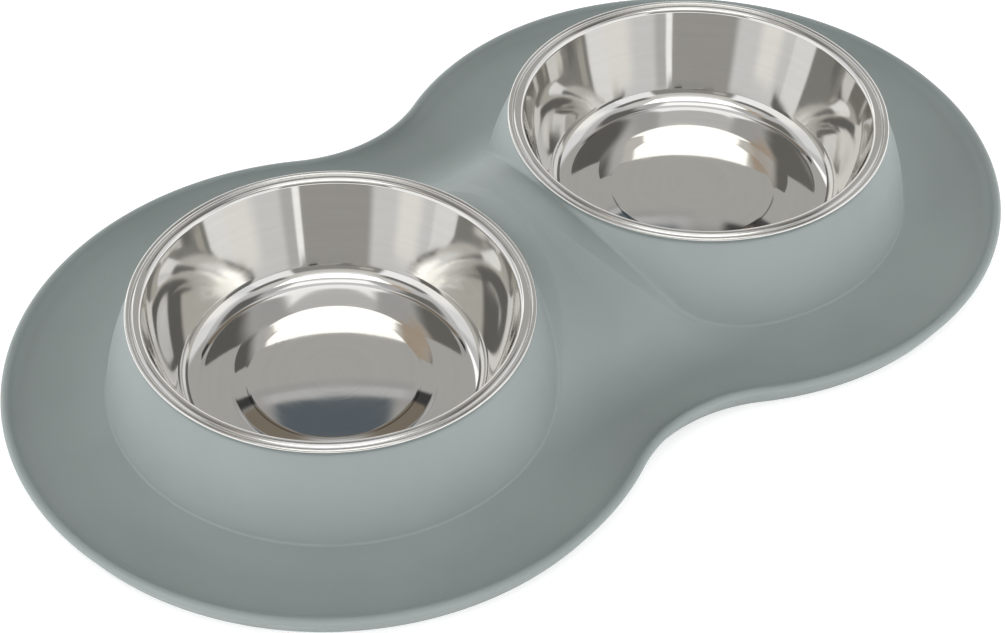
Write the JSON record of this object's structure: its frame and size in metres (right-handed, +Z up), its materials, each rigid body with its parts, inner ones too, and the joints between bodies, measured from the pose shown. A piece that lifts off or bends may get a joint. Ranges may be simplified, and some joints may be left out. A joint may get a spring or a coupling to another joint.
{
  "type": "double pet bowl",
  "caption": "Figure-eight silicone feeding mat with a turned-up lip and raised collars, from which round steel bowls with rolled rims lift out.",
  "frame": {"origin": "on the ground, midway between the bowls", "axes": "+X from the left bowl to the right bowl, +Z up"},
  "size_m": [0.3808, 0.2208, 0.0385],
  "materials": {
    "silicone": "satin moulded silicone, grey-green",
    "steel": "polished stainless steel, lightly brushed inside"
  },
  "bodies": {
    "tray": {"mat": "silicone"},
    "left_bowl": {"bowl_left": "steel"},
    "right_bowl": {"bowl_right": "steel"}
  },
  "joints": [
    {"name": "bowl_left_lift", "type": "slide", "parent": "tray", "child": "left_bowl", "axis": [0, 0, 1], "range_m": [0, 0.06]},
    {"name": "bowl_right_lift", "type": "slide", "parent": "tray", "child": "right_bowl", "axis": [0, 0, 1], "range_m": [0, 0.06]}
  ]
}
